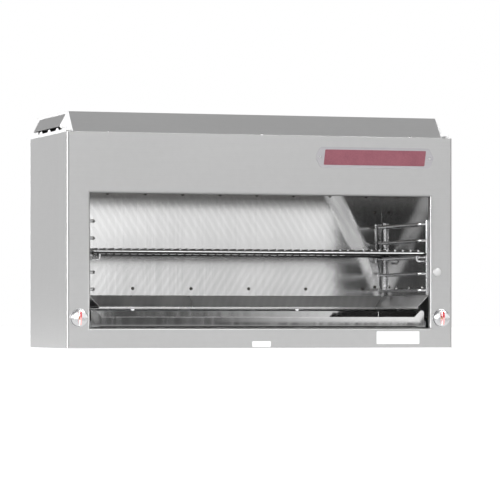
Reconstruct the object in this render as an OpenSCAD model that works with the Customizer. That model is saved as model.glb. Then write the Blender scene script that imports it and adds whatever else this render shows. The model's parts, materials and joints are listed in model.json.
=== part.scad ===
// Cheese melter: an open-fronted finishing oven with two downward-firing gas burners,
// a wire rack on five-level guides, a drip pan and a low flue hood.
// Origin at the centre of the underside. +Z is up and the open front faces -Y.

/* [Case] */
// Width of the case across its side panels
body_w = 914; // [820:1:1300]
// Depth of the case from front face to rear face
body_d = 368; // [350:1:460]
// Height of the front panel
front_h = 480; // [465:1:560]
// Sheet thickness of the outer panels
skin = 1.5; // [1:0.1:2]
// Outside radius of the front panel's upright bends
bend_r = 6; // [4:0.5:8]
// How far the front panel wraps round onto each side
side_return = 10; // [9:0.5:16]
// How far the rear panel wraps round onto each side
rear_return = 32; // [20:1:60]
// Width of the joining flanges inside the case
flange = 12; // [8:1:14]
// Open joint between neighbouring outer panels
seam = 0.4; // [0.3:0.1:1.2]

/* [Window] */
// Width of the stile on each side of the window
stile_w = 54; // [50:1:70]
// Height of the header above the window
header_h = 135; // [132:1:170]
// Height of the rail below the window
rail_h = 45; // [45:1:70]
// Depth of the lips that line the window
lip = 15; // [8:1:15]

/* [Cavity] */
// Sheet thickness of the cavity's liners, pan and runners
liner = 1.2; // [0.8:0.1:1.6]
// How far each liner stands outside the window's edge
liner_setback = 2; // [1.8:0.1:4]
// Space between the cavity's back wall and the rear face
rear_gap = 38; // [34:1:60]
// Drop of the sloping aprons at the foot of the walls
apron_h = 27; // [15:1:32]
// Height of the hem along each apron's lower edge
hem_h = 5; // [3:0.5:8]
// Height of the cavity's ceiling above the window's upper edge
ceiling_rise = 27; // [24:1:30]

/* [Burners] */
// Height of each burner housing
housing_h = 58; // [50:1:60]
// How far each housing hangs below the ceiling
housing_drop = 7; // [4:1:10]
// Gap between the two housings
housing_gap = 20; // [12:1:60]
// Gap between a housing and the liner beside it
housing_side_gap = 17; // [16:1:40]
// Distance from the front face to the housings
housing_front = 50; // [40:1:60]
// Distance from the back wall to the housings, which is the flue
flue_d = 78; // [70:1:110]
// Length of one ceramic tile
tile_l = 90; // [60:1:130]
// Thickness of the ceramic tiles
tile_t = 12; // [8:1:14]
// Drop of the re-radiating screen below the tiles
screen_drop = 6; // [4:0.5:8]
// Radius of each mixer tube's throat
mixer_r = 12; // [9:0.5:13]
// Thickness of the insulation blankets
blanket_t = 12; // [8:1:12]

/* [Gas train] */
// Outside radius of the manifold and feed pipe
pipe_r = 10.6; // [8:0.1:11]
// Wall of the gas pipes
pipe_wall = 2.7; // [1.5:0.1:3]
// Height of the manifold's axis
manifold_z = 27; // [27:1:30]
// Distance from the front face to the manifold's axis
manifold_setback = 40; // [32:1:60]
// Distance from the side face to the gas inlet's axis
inlet_inset = 107; // [90:1:160]
// Outside radius of the supply tubes to the burners
supply_r = 4.8; // [3:0.1:5]
// Outside radius of the pilot tubes
pilot_r = 2.4; // [1.5:0.1:3]

/* [Knobs] */
// Distance from the side face to each knob's axis
knob_inset = 28; // [26:0.5:32]
// Height of each knob's axis
knob_z = 67; // [62:1:90]
// Diameter of a knob
knob_d = 38; // [30:1:42]
// Height of a knob's grip above its back face
grip_h = 20; // [16:1:26]
// Width of the red pointer line
pointer_w = 3; // [1.5:0.1:4]
// Radius of the valve stems
stem_r = 3; // [2:0.1:4]
// Running clearance around each stem in its valve
stem_fit = 0.06; // [0.02:0.01:0.1]

/* [Rack guides] */
// Diameter of the guides' wire
guide_d = 6.4; // [5:0.1:7]
// Number of rack levels
levels = 5; // [2:1:5]
// Height from one level to the next
level_pitch = 38; // [30:1:38]
// Height of the lowest level above the aprons' bend
first_level = 11; // [8:1:16]
// Distance from the liner to each rung
guide_inset = 20; // [18:0.5:26]
// Distance from the liner's front edge to the front posts
guide_front = 0.5; // [0.3:0.1:12]
// Distance from the back wall to the rear posts
guide_rear = 29; // [8:1:40]
// Level that the rack rests on, counted from the lowest
rack_level = 3; // [1:1:5]

/* [Rack] */
// Diameter of the rack's frame rods
frame_d = 8; // [6:0.1:9]
// Diameter of the rack's fine wires
wire_d = 4.5; // [3:0.1:5]
// Spacing of the fine wires
wire_pitch = 19; // [14:0.5:30]
// Diameter of the hooks under the guides
hook_d = 5; // [4:0.1:5.5]
// Clearance between the rack and the guide posts
rack_clear = 3.5; // [2:0.1:8]

/* [Drip pan] */
// Distance from the front face to the pan
pan_front = 20; // [16:1:30]
// Clearance between the pan's side and its runner
pan_clear = 1.5; // [0.5:0.1:4]
// Height of the pan's side walls and ears
pan_h = 36; // [26:1:50]
// Height of the pan's front wall between the ears
pan_front_h = 21; // [14:1:24]
// Length of an ear's flat top
ear_w = 9; // [5:1:30]
// Gap between the pan's top and the aprons above it
pan_gap = 4; // [2:0.5:10]

/* [Hood] */
// Height of the hood above the front panel
hood_h = 49; // [42:1:80]
// Distance from the front face to the hood's slope
hood_front = 20; // [16:1:30]
// How far back the slope leans
hood_lean = 40; // [20:1:60]
// Distance from the rear face to the hood's back
hood_back = 26; // [20:1:40]
// Distance from the side face to the hood's end
hood_inset = 20; // [18:1:40]
// Sheet thickness of the hood
hood_sheet = 1.2; // [0.8:0.1:1.5]
// Height of the vent gap under the end flaps
vent_h = 15; // [14:1:20]
// Height of the strip along the foot of each vent
strip_h = 7.5; // [5:0.5:8]
// Height of the teeth on each strip
tooth_h = 5.5; // [3:0.5:6]
// Spacing of the teeth
tooth_pitch = 74; // [50:1:80]

/* [Nameplate and labels] */
// Length of the nameplate
plate_w = 284; // [120:1:400]
// Height of the nameplate
plate_h = 47; // [30:1:60]
// Distance from the nameplate's end to the side face
plate_inset = 47; // [20:1:120]
// Distance from the nameplate to the top of the front panel
plate_drop = 24; // [15:1:60]
// Thickness of the nameplate
plate_t = 1; // [0.5:0.1:2]

/* [Fasteners] */
// Diameter of a round screw head
head_d = 8; // [6:0.5:9]
// Height of a round screw head
head_h = 2.6; // [2:0.1:3.5]
// Spacing of the leg sockets and wall bolts, across the case
bolt_w = 406.4; // [300:0.1:500]
// Height from the lower to the upper wall bolts
bolt_h = 300; // [200:1:320]

/* [Hidden] */
$fn = 48;
eps = 0.01;
front_y = -body_d / 2;
rear_y = body_d / 2;
side_x = body_w / 2;
inner_x = side_x - skin;

window_w = body_w - 2 * stile_w;
window_top = front_h - header_h;

liner_x = window_w / 2 + liner_setback;
back_y = rear_y - rear_gap;
cavity_front = front_y + lip + 0.3;

pan_floor_z = rail_h + 3.6;
pan_top = pan_floor_z + pan_h;
hem_low = pan_top + pan_gap;
apron_low = hem_low + hem_h;
apron_top = apron_low + apron_h;
ceiling_z = window_top + ceiling_rise;

housing_low = ceiling_z - housing_drop;
housing_top = housing_low + housing_h;
housing_in = housing_gap / 2;
housing_out = liner_x - housing_side_gap;
housing_y0 = front_y + housing_front;
housing_y1 = back_y - flue_d;
rim = 10;
seat = 3;
tile_z = housing_low - 2;
screen_z = tile_z - screen_drop;
screen_rod = 2.4;
shield_z = front_h - skin - blanket_t - liner;
mixer_z = (housing_top + shield_z) / 2;
mixer_y = (housing_y0 + housing_y1) / 2;
mixer_bell_r = (shield_z - housing_top) / 2 - 3;
mixer_out = liner_x - 5;
mixer_in = (housing_in + housing_out) / 2;
pilot_x = (housing_out + seat + liner_x) / 2;
pilot_y = housing_y0 + 30;
pilot_head_r = 4;
baffle_y = housing_y1 + rim + 3;
slot_y0 = baffle_y + liner + flange + 4;
slot_y1 = back_y - 6;

manifold_y = front_y + manifold_setback;
inlet_x = side_x - inlet_inset;
inlet_r = 16.5;
inlet_bore = 12.3;
inlet_l = 30;
knob_x = side_x - knob_inset;
spud_r = 9;
spud_top = manifold_z + pipe_r + 4;
valve_r = 10;
valve_y0 = front_y + skin + 6;
valve_y1 = manifold_y + 20;
supply_y = mixer_y;
regulator_y = rear_y - inlet_l - 55;
regulator_r = 28;
hub_r = 14;
hub_l = 32;
tee_l = 22;

weld = 0.8;
post_over = 9;
guide_bend = 5;
toe_bend = guide_inset - 4;
post_x = liner_x - guide_d / 2;
rung_x = liner_x - guide_inset;
post_y0 = cavity_front + guide_front + guide_d / 2;
post_y1 = back_y - guide_rear;
first_z = apron_top + first_level;
top_level_z = first_z + (levels - 1) * level_pitch;
shelf_z = first_z + (min(rack_level, levels) - 1) * level_pitch;

frame_z = shelf_z + (guide_d + frame_d) / 2 + 0.3;
frame_x = post_x - guide_d / 2 - rack_clear - frame_d / 2;
frame_y0 = post_y0;
frame_y1 = post_y1 - guide_d / 2 - frame_d / 2 - 2;
wire_z = frame_z + (frame_d + wire_d) / 2;
wire_span = 2 * (frame_x - frame_d / 2 - wire_d);
wire_count = floor(wire_span / wire_pitch) + 1;
cross_rods = 3;
hook_x = rung_x - guide_d / 2 - hook_d / 2 - 3;
hook_z = shelf_z - guide_d / 2 - hook_d / 2 - 4.4;
hook_r = 6;

runner_x = liner_x - liner - 7;
pan_x = runner_x - pan_clear;
pan_y0 = front_y + pan_front;
pan_y1 = back_y - 5;
ledge_w = 20;
runner_guide_h = 12;
runner_y0 = front_y + lip + 4;
runner_y1 = back_y + 8;
ledge_z = pan_floor_z - 0.3;

hood_x = side_x - hood_inset;
hood_top_z = front_h + hood_h;
hood_y0 = front_y + hood_front;
hood_y1 = hood_y0 + hood_lean;
hood_y2 = rear_y - hood_back;
hood_hem = 4.5;
wing_step = 6;
riser_l = 35;
lean = hood_lean / (hood_h - hood_sheet);
slope_dy = hood_sheet * (norm([1, lean]) - lean);
flap_y0 = hood_y1 + 7;
flap_y1 = hood_y2 - 37;
flap_x = hood_x + 5;
strip_x = inner_x - 0.5;

plate_x1 = side_x - plate_inset;
plate_x0 = plate_x1 - plate_w;
plate_z = front_h - plate_drop - plate_h / 2;
plate_tip = 10;
plate_screw_in = 9;
enamel_in = 18;
enamel_t = 0.3;

label_x = side_x - 185;
label_w = 104;
label_h = 29;
label_z = 8;
small_x = -26;
small_w = 44;
small_h = 13;
small_z = 2;
label_t = 0.3;
plug_x = side_x - 37.5;
plug_z = 172.8;
plug_r = 10;
top_screw_pitch = 357;
top_screw_back = 10;
socket_h = 10;
socket_hole = 4.5;
leg_x = side_x - 27;
leg_y = rear_y - 34;
wall_hole = 5.5;
wall_z0 = 90;
rail_w = 40;
rail_t = 3;

brushed = "silver";
polished = "gainsboro";
galvanised = "lightgray";

// A solid along X with its profile given as (y, z).
module along_x(x0, x1) {
    translate([x0, 0, 0]) rotate([90, 0, 90]) linear_extrude(x1 - x0) children();
}

// A solid along Y with its profile given as (x, z).
module along_y(y0, y1) {
    translate([0, y1, 0]) rotate([90, 0, 0]) linear_extrude(y1 - y0) children();
}

// A box from its lowest to its highest corner.
module block(low, high) {
    translate(low) cube(high - low);
}

module x_rod(x0, x1, y, z, r) {
    translate([x0, y, z]) rotate([0, 90, 0]) cylinder(h = x1 - x0, r = r);
}

module y_rod(x, y0, y1, z, r) {
    translate([x, y0, z]) rotate([-90, 0, 0]) cylinder(h = y1 - y0, r = r);
}

module z_rod(x, y, z0, z1, r) {
    translate([x, y, z0]) cylinder(h = z1 - z0, r = r);
}

// The same thing on the right, and mirrored on the left.
module on_side(side) {
    mirror([side < 0 ? 1 : 0, 0, 0]) children();
}

module both_sides() {
    on_side(1) children();
    on_side(-1) children();
}

// A slot with round ends along X, cut down through a sheet.
module round_slot(x0, x1, y, w, z0, z1) {
    block([x0, y - w / 2, z0], [x1, y + w / 2, z1]);
    z_rod(x0, y, z0, z1, w / 2);
    z_rod(x1, y, z0, z1, w / 2);
}

// A low round screw head standing along +Z from z = 0.
module screw_head(d = head_d, h = head_h) {
    ball_r = (d * d / 4 + h * h) / (2 * h);
    intersection() {
        translate([0, 0, h - ball_r]) sphere(ball_r);
        cylinder(h = h, r = d);
    }
}

// ---- Case ----

// Plan of the front panel with its rounded corners, grown inward by the inset given.
module wrap_plan(inset) {
    deep = side_return + 2 * bend_r;
    for (x = [-side_x + bend_r, side_x - bend_r])
        translate([x, front_y + bend_r]) circle(bend_r - inset);
    translate([-side_x + bend_r, front_y + inset]) square([2 * (side_x - bend_r), deep - inset]);
    translate([-side_x + inset, front_y + bend_r]) square([2 * (side_x - inset), deep - bend_r]);
}

module window_block(grow, y0, y1) {
    block([-window_w / 2 - grow, y0, rail_h - grow], [window_w / 2 + grow, y1, window_top + grow]);
}

module front_panel() {
    color(brushed)
    difference() {
        union() {
            linear_extrude(front_h)
            difference() {
                intersection() {
                    wrap_plan(0);
                    translate([-side_x, front_y]) square([body_w, side_return]);
                }
                wrap_plan(skin);
            }
            for (z = [0, front_h - skin])
                block([-side_x + bend_r, front_y + skin / 2, z],
                      [side_x - bend_r, front_y + skin + flange, z + skin]);
            window_block(skin, front_y, front_y + lip);
        }
        window_block(0, front_y - 1, front_y + lip + 1);
        for (x = [-knob_x, knob_x])
            y_rod(x, front_y - 1, front_y + skin + 1, knob_z, stem_r + 3);
        y_rod(plug_x, front_y - 1, front_y + skin + 1, plug_z, plug_r - 2);
    }
}

// Right-hand side panel with the tab that laps inside the front panel's return.
module side_panel() {
    y0 = front_y + side_return + seam;
    y1 = rear_y - rear_return - seam;
    tab_z = flange + 4;
    color(brushed) {
        block([inner_x, y0, 0], [side_x, y1, front_h]);
        block([inner_x - skin, front_y + bend_r + 0.5, tab_z], [inner_x, y0 + flange, front_h - tab_z]);
        block([inner_x - skin, y1 - flange, tab_z], [inner_x, y1 + flange, front_h - tab_z]);
    }
}

module left_side_panel() {
    on_side(-1) side_panel();
}

module right_side_panel() {
    side_panel();
}

module wall_bolts(y0, y1) {
    for (x = [-bolt_w / 2, bolt_w / 2], z = [wall_z0, wall_z0 + bolt_h])
        y_rod(x, y0, y1, z, wall_hole);
}

module rear_panel() {
    color(galvanised)
    difference() {
        block([-inner_x, rear_y - skin, 0], [inner_x, rear_y, front_h]);
        wall_bolts(rear_y - skin - 1, rear_y + 1);
        y_rod(inlet_x, rear_y - skin - 1, rear_y + 1, manifold_z, inlet_r + 1);
    }
}

// Bright strips that cap the case's rear corners.
module rear_corner_strips() {
    color(galvanised)
    both_sides() block([inner_x, rear_y - rear_return, 0], [side_x, rear_y, front_h]);
}

// A flat sheet between the side panels.
module floor_sheet(z0) {
    block([-inner_x, front_y + skin + flange + seam, z0], [inner_x, rear_y - skin, z0 + skin]);
}

// Angles that join the bottom panel and the top deck to the side panels.
module joining_angles() {
    y0 = front_y + skin + flange + seam + 4;
    y1 = rear_y - rear_return + flange;
    color(galvanised)
    both_sides() {
        along_y(y0, y1)
            polygon([
                [inner_x - flange, skin], [inner_x, skin], [inner_x, skin + flange],
                [inner_x - skin, skin + flange], [inner_x - skin, 2 * skin], [inner_x - flange, 2 * skin]
            ]);
        along_y(y0, y1)
            polygon([
                [inner_x - flange, front_h - skin], [inner_x, front_h - skin],
                [inner_x, front_h - skin - flange], [inner_x - skin, front_h - skin - flange],
                [inner_x - skin, front_h - 2 * skin], [inner_x - flange, front_h - 2 * skin]
            ]);
    }
}

module leg_holes(z0, z1) {
    for (x = [-leg_x, leg_x], y = [-leg_y, leg_y])
        z_rod(x, y, z0, z1, socket_hole);
}

module bottom_panel() {
    color(galvanised)
    difference() {
        floor_sheet(0);
        leg_holes(-1, skin + 1);
    }
}

// The row of flue slots through a sheet, centred on the case.
module flue_slots(z0, z1) {
    rib = 12;
    w = slot_y1 - slot_y0 - 8;
    pitch = 3 * w;
    straight = pitch - w - rib;
    count = floor((2 * liner_x - 20) / pitch);
    for (i = [0 : count - 1]) {
        x = (i - (count - 1) / 2) * pitch;
        round_slot(x - straight / 2, x + straight / 2, (slot_y0 + slot_y1) / 2, w, z0, z1);
    }
}

module top_deck() {
    color(galvanised)
    difference() {
        floor_sheet(front_h - skin);
        flue_slots(front_h - skin - 1, front_h + 1);
    }
}

module wall_rails() {
    color(galvanised)
    difference() {
        for (x = [-bolt_w / 2, bolt_w / 2])
            block([x - rail_w / 2, rear_y - skin - rail_t, wall_z0 - 30],
                  [x + rail_w / 2, rear_y - skin, wall_z0 + bolt_h + 30]);
        wall_bolts(rear_y - skin - rail_t - 1, rear_y);
    }
}

module leg_sockets() {
    color("dimgray")
    difference() {
        for (x = [-leg_x, leg_x], y = [-leg_y, leg_y])
            z_rod(x, y, skin, skin + socket_h, socket_hole + 5.5);
        leg_holes(0, skin + socket_h + 1);
    }
}

// ---- Cavity ----

// Plan wedge that the back wall owns, so that its apron meets the side aprons in a mitre.
module mitre_wedge() {
    reach = apron_h + 20;
    linear_extrude(front_h)
    polygon([
        [-liner_x - 9, back_y + 9], [liner_x + 9, back_y + 9],
        [liner_x - reach, back_y - reach], [-liner_x + reach, back_y - reach]
    ]);
}

// Profile of a wall with its sloping apron and hem; u runs out of the cavity from the wall's face.
module wall_profile() {
    polygon([
        [0, ceiling_z], [0, apron_top], [-apron_h, apron_low], [-apron_h, hem_low],
        [-apron_h + liner, hem_low], [-apron_h + liner, apron_low - liner / 2],
        [liner, apron_top - liner / 2], [liner, ceiling_z]
    ]);
}

module cavity_back_wall() {
    color(polished)
    intersection() {
        translate([0, back_y, 0]) along_x(-liner_x - 2, liner_x + 2) wall_profile();
        mitre_wedge();
    }
}

module side_liner() {
    color(polished)
    difference() {
        translate([liner_x, 0, 0]) along_y(cavity_front + 0.9, back_y + liner) wall_profile();
        mitre_wedge();
    }
}

module left_liner() {
    on_side(-1) side_liner();
}

module right_liner() {
    side_liner();
}

module cavity_ceiling() {
    color(polished)
    difference() {
        union() {
            block([-liner_x - liner, cavity_front, ceiling_z],
                  [liner_x + liner, back_y + liner, ceiling_z + liner]);
            block([-liner_x - liner, cavity_front, window_top + skin + 0.5],
                  [liner_x + liner, cavity_front + 0.9, ceiling_z + eps]);
        }
        both_sides()
            block([housing_in - 1, housing_y0 - 1, ceiling_z - 1],
                  [housing_out + 1, housing_y1 + 1, ceiling_z + liner + 1]);
        flue_slots(ceiling_z - 1, ceiling_z + liner + 1);
        both_sides() z_rod(pilot_x, pilot_y, ceiling_z - 1, ceiling_z + liner + 1, pilot_head_r + 1);
    }
}

module flue_baffle() {
    z0 = ceiling_z + liner;
    z1 = front_h - skin;
    color(galvanised)
    along_x(-liner_x, liner_x)
    polygon([
        [baffle_y, z0], [baffle_y + flange, z0], [baffle_y + flange, z0 + liner],
        [baffle_y + liner, z0 + liner], [baffle_y + liner, z1 - liner],
        [baffle_y + flange, z1 - liner], [baffle_y + flange, z1], [baffle_y, z1]
    ]);
}

// ---- Burners ----

// Right-hand plenum: open below for the tiles, with a rim that rests on the ceiling.
module burner_housing() {
    wall = 1.5;
    rim_z = ceiling_z + liner;
    color("darkgray")
    difference() {
        union() {
            block([housing_in, housing_y0, housing_low], [housing_out, housing_y1, housing_top]);
            block([housing_in - seat, housing_y0 - rim, rim_z],
                  [housing_out + seat, housing_y1 + rim, rim_z + wall]);
        }
        block([housing_in + wall, housing_y0 + wall, housing_low - 1],
              [housing_out - wall, housing_y1 - wall, housing_top - wall]);
        z_rod(mixer_in, mixer_y, housing_top - wall - 1, housing_top + 1, mixer_r);
    }
}

module left_burner_housing() {
    on_side(-1) burner_housing();
}

module right_burner_housing() {
    burner_housing();
}

// The ceramic tiles of one burner, two rows deep, held in the mouth of the plenum.
module tile_bed() {
    wall = 1.5;
    gap = 0.5;
    x0 = housing_in + wall + gap;
    x1 = housing_out - wall - gap;
    y0 = housing_y0 + wall + gap;
    y1 = housing_y1 - wall - gap;
    count = floor((x1 - x0) / tile_l);
    step_x = (x1 - x0 + gap) / count;
    step_y = (y1 - y0 + gap) / 2;
    color("linen")
    for (i = [0 : count - 1], j = [0, 1])
        block([x0 + i * step_x, y0 + j * step_y, tile_z],
              [x0 + (i + 1) * step_x - gap, y0 + (j + 1) * step_y - gap, tile_z + tile_t]);
}

module burner_tiles() {
    both_sides() tile_bed();
}

// Re-radiating screens: rods between two flat bars, hung from the housing's rim by four posts.
module burner_screens() {
    wall = 1.5;
    x0 = housing_in + 4;
    x1 = housing_out - 4;
    bar = 4;
    rods = 30;
    color("dimgray")
    both_sides() {
        for (y = [housing_y0, housing_y1 - bar])
            block([x0, y, screen_z - screen_rod / 2], [x1, y + bar, screen_z + screen_rod / 2]);
        for (y = [housing_y0, housing_y1 - wall], x = [x0, x1 - bar])
            block([x, y, screen_z], [x + bar, y + wall, housing_low]);
        for (i = [0 : rods - 1])
            y_rod(x0 + bar / 2 + i * (x1 - x0 - bar) / (rods - 1), housing_y0 + bar / 2,
                  housing_y1 - bar / 2, screen_z, screen_rod / 2 - 0.2);
    }
}

// Mixer tube, solid: bell mouth, throat and wider body on one axis, then an elbow down.
module mixer_form(wall) {
    length = mixer_out - mixer_in;
    r = mixer_r + wall;
    translate([mixer_out, mixer_y, mixer_z]) rotate([0, -90, 0])
    rotate_extrude()
    polygon([
        [0, 0], [mixer_bell_r + wall, 0], [r - 2, 2 * mixer_r], [r - 2, 4 * mixer_r],
        [r, length - 3 * mixer_r], [r, length], [0, length]
    ]);
    translate([mixer_in, mixer_y, mixer_z]) sphere(r);
    z_rod(mixer_in, mixer_y, housing_top, mixer_z, r);
}

module gas_mixer() {
    color("gray")
    difference() {
        union() {
            mixer_form(1.6);
            z_rod(mixer_in, mixer_y, housing_top, housing_top + 2.5, mixer_r + 8);
        }
        mixer_form(0);
    }
}

module left_mixer() {
    on_side(-1) gas_mixer();
}

module right_mixer() {
    gas_mixer();
}

// The drilled spuds that aim the gas into the bell mouths, each on a block at its tube's end.
module orifice_spuds() {
    x0 = mixer_out + 6;
    color("goldenrod")
    both_sides() {
        block([x0 + 10, mixer_y - 9, mixer_z - 9], [knob_x + 9, mixer_y + 9, mixer_z + 9]);
        difference() {
            translate([x0, mixer_y, mixer_z]) rotate([0, 90, 0]) cylinder(h = 10, r = 7, $fn = 6);
            x_rod(x0 - 1, x0 + 8, mixer_y, mixer_z, 1.2);
        }
    }
}

module heat_shield() {
    x = liner_x - 4;
    color(galvanised) {
        block([-x, housing_y0 - 8, shield_z], [x, baffle_y - 1, shield_z + liner]);
        both_sides() block([x - liner, housing_y0 - 8, shield_z], [x, baffle_y - 1, front_h - skin]);
    }
}

// Mineral blankets: above the burners, behind the back wall and outside the two liners.
module insulation_blankets() {
    color("khaki") {
        block([-liner_x + 6, housing_y0 - 8, shield_z + liner],
              [liner_x - 6, baffle_y - 1, front_h - skin - 0.2]);
        block([-liner_x, back_y + liner, apron_top], [liner_x, back_y + liner + blanket_t, ceiling_z]);
        both_sides()
            block([liner_x + liner, cavity_front + 6, apron_top],
                  [liner_x + liner + blanket_t, back_y - 4, ceiling_z]);
    }
}

// ---- Gas train ----

module gas_manifold() {
    end_x = knob_x + supply_r + 2 * pilot_r + 6;
    color("dimgray")
    difference() {
        union() {
            x_rod(-end_x, end_x, manifold_y, manifold_z, pipe_r);
            both_sides() z_rod(knob_x, manifold_y, manifold_z, spud_top, spud_r);
            y_rod(inlet_x, manifold_y, manifold_y + tee_l, manifold_z, hub_r - 1);
        }
        x_rod(-end_x + 3, end_x - 3, manifold_y, manifold_z, pipe_r - pipe_wall);
        both_sides() z_rod(knob_x, manifold_y, manifold_z, spud_top + 1, spud_r - 3);
        y_rod(inlet_x, manifold_y, manifold_y + tee_l + 1, manifold_z, pipe_r - pipe_wall - 1);
    }
}

module manifold_brackets() {
    w = 12;
    places = [-side_x * 0.66, 0, side_x * 0.44];
    color(galvanised)
    difference() {
        for (x = places)
            block([x - w, manifold_y - w, skin], [x + w, manifold_y + w, manifold_z]);
        x_rod(-side_x, side_x, manifold_y, manifold_z, pipe_r + 0.1);
        for (x = places)
            block([x - w + 3, manifold_y - w - 1, 3 * skin],
                  [x + w - 3, manifold_y + w + 1, manifold_z - pipe_r - 3]);
    }
}

module gas_inlet() {
    color("dimgray")
    difference() {
        y_rod(inlet_x, rear_y - inlet_l, rear_y, manifold_z, inlet_r);
        y_rod(inlet_x, rear_y - inlet_l - 1, rear_y + 1, manifold_z, inlet_bore);
    }
}

module gas_regulator() {
    y1 = rear_y - inlet_l;
    color("silver")
    difference() {
        union() {
            z_rod(inlet_x, regulator_y, manifold_z - 9, manifold_z + 5, regulator_r);
            z_rod(inlet_x, regulator_y, manifold_z + 5, manifold_z + 13, regulator_r - 12);
            y_rod(inlet_x, regulator_y - hub_l, y1, manifold_z, hub_r);
        }
        y_rod(inlet_x, regulator_y + 8, y1 + 1, manifold_z, pipe_r - pipe_wall);
        y_rod(inlet_x, regulator_y - hub_l - 1, regulator_y - 8, manifold_z, pipe_r - pipe_wall);
    }
}

module gas_feed_pipe() {
    color("dimgray")
    difference() {
        y_rod(inlet_x, manifold_y + tee_l, regulator_y - hub_l, manifold_z, pipe_r);
        y_rod(inlet_x, manifold_y + tee_l - 1, regulator_y - hub_l + 1, manifold_z, pipe_r - pipe_wall);
    }
}

// Right-hand gas valve: barrel behind the panel, tailpiece on the manifold, stem bore in front.
module gas_valve() {
    color("goldenrod")
    difference() {
        union() {
            y_rod(knob_x, valve_y0 + 6, valve_y1, knob_z, valve_r);
            y_rod(knob_x, valve_y0, valve_y0 + 8, knob_z, stem_r + 3.5);
            y_rod(knob_x, valve_y1, valve_y1 + 8, knob_z, supply_r + 2.5);
            z_rod(knob_x, manifold_y, spud_top, knob_z, 7);
        }
        y_rod(knob_x, valve_y0 - 1, valve_y0 + 20, knob_z, stem_r + stem_fit);
    }
}

module left_gas_valve() {
    on_side(-1) gas_valve();
}

module right_gas_valve() {
    gas_valve();
}

// Each supply tube runs back from its valve, turns up beside the liner and ends under its spud.
module supply_tubes() {
    color("silver")
    both_sides() {
        y_rod(knob_x, valve_y1 + 8, supply_y, knob_z, supply_r);
        translate([knob_x, supply_y, knob_z]) sphere(supply_r);
        z_rod(knob_x, supply_y, knob_z, mixer_z - 9, supply_r);
    }
}

// A pilot beside each burner, its head through the ceiling and its collar on the ceiling sheet.
module pilot_burners() {
    z0 = ceiling_z + liner;
    color("goldenrod")
    both_sides() {
        z_rod(pilot_x, pilot_y, ceiling_z - 10, ceiling_z + 20, pilot_head_r);
        z_rod(pilot_x, pilot_y, z0, z0 + 4, pilot_head_r + 2.3);
    }
}

// Pilot tubes: over the top of the side blanket, then down beside the liner to the manifold.
module pilot_tubes() {
    x1 = knob_x + supply_r + pilot_r + 1.5;
    z1 = ceiling_z + 20 + pilot_r;
    color("peru")
    both_sides() {
        z_rod(pilot_x, pilot_y, ceiling_z + 20, z1, pilot_r);
        translate([pilot_x, pilot_y, z1]) sphere(pilot_r);
        x_rod(pilot_x, x1, pilot_y, z1, pilot_r);
        translate([x1, pilot_y, z1]) sphere(pilot_r);
        z_rod(x1, pilot_y, manifold_z, z1, pilot_r);
        translate([x1, pilot_y, manifold_z]) sphere(pilot_r);
        y_rod(x1, manifold_y + pipe_r, pilot_y, manifold_z, pilot_r);
    }
}

// ---- Hood ----

// Front slope, flat top and upright back, bent from one sheet.
module hood_shell() {
    t = hood_sheet;
    z0 = front_h;
    z1 = hood_top_z;
    color(brushed)
    along_x(-hood_x, hood_x)
    polygon([
        [hood_y0 - 15, z0], [hood_y0 - 15, z0 + t], [hood_y0, z0 + t], [hood_y1, z1],
        [hood_y2, z1], [hood_y2, z0], [hood_y2 - t, z0], [hood_y2 - t, z1 - t],
        [hood_y1 + slope_dy, z1 - t], [hood_y0 + slope_dy, z0]
    ]);
}

// Right-hand end flap: leans out from the hem down to the side face, above the open vent.
module hood_flap() {
    t = hood_sheet;
    z0 = front_h + vent_h;
    z1 = hood_top_z - hood_hem;
    color(brushed)
    along_y(flap_y0, flap_y1)
    polygon([
        [hood_x, z1], [flap_x, z1 - 1], [side_x, z0], [side_x - t, z0],
        [flap_x - t, z1 - 1 - t], [hood_x, z1 - t]
    ]);
}

module left_hood_flap() {
    on_side(-1) hood_flap();
}

module right_hood_flap() {
    hood_flap();
}

// Bright end trim of the hood: a hem along the top, plates that close the end in front of and
// behind the vent, and a wing out to each end of the flap.
module hood_cheeks() {
    t = hood_sheet;
    z0 = front_h;
    z1 = hood_top_z - hood_hem;
    color(galvanised)
    both_sides() {
        block([hood_x, hood_y1, z1], [hood_x + t, hood_y2, hood_top_z]);
        along_x(hood_x, hood_x + t) {
            polygon([
                [hood_y0, z0], [hood_y0, z0 + t], [hood_y1 - hood_hem * lean, z1],
                [flap_y0, z1], [flap_y0, z0]
            ]);
            polygon([[flap_y1, z0], [flap_y1, z1], [hood_y2, z1], [hood_y2, z0]]);
        }
        for (y = [flap_y0 - t, flap_y1])
            along_y(y, y + t)
            polygon([
                [hood_x + t, z1], [flap_x, z1 - 1], [side_x, z0 + vent_h], [side_x - t, z0 + vent_h - 1],
                [strip_x - wing_step, z0 + strip_h], [hood_x + t, z0 + strip_h]
            ]);
    }
}

// Right-hand strip along the foot of the vent, with its teeth, its foot on the deck, and a riser
// that closes the vent's rear end.
module vent_strip() {
    t = hood_sheet;
    y0 = front_y + skin + flange + seam + 1;
    y1 = flap_y1;
    mid = (flap_y0 + flap_y1) / 2 - 18;
    color(galvanised) {
        block([strip_x - t, y0, front_h], [strip_x, y1, front_h + strip_h]);
        block([strip_x - 7, y0, front_h], [strip_x, y1, front_h + t]);
        block([strip_x - t, y1 - riser_l, front_h], [strip_x, y1, front_h + vent_h - 2]);
        for (i = [-1 : 1])
            translate([strip_x - t, mid + i * tooth_pitch, front_h + strip_h]) rotate([90, 0, 90])
            linear_extrude(t)
            polygon([[-15, 0], [-6, tooth_h], [6, tooth_h], [15, 0]]);
    }
}

module left_vent_strip() {
    on_side(-1) vent_strip();
}

module right_vent_strip() {
    vent_strip();
}

// ---- Rack guides and rack ----

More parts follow.
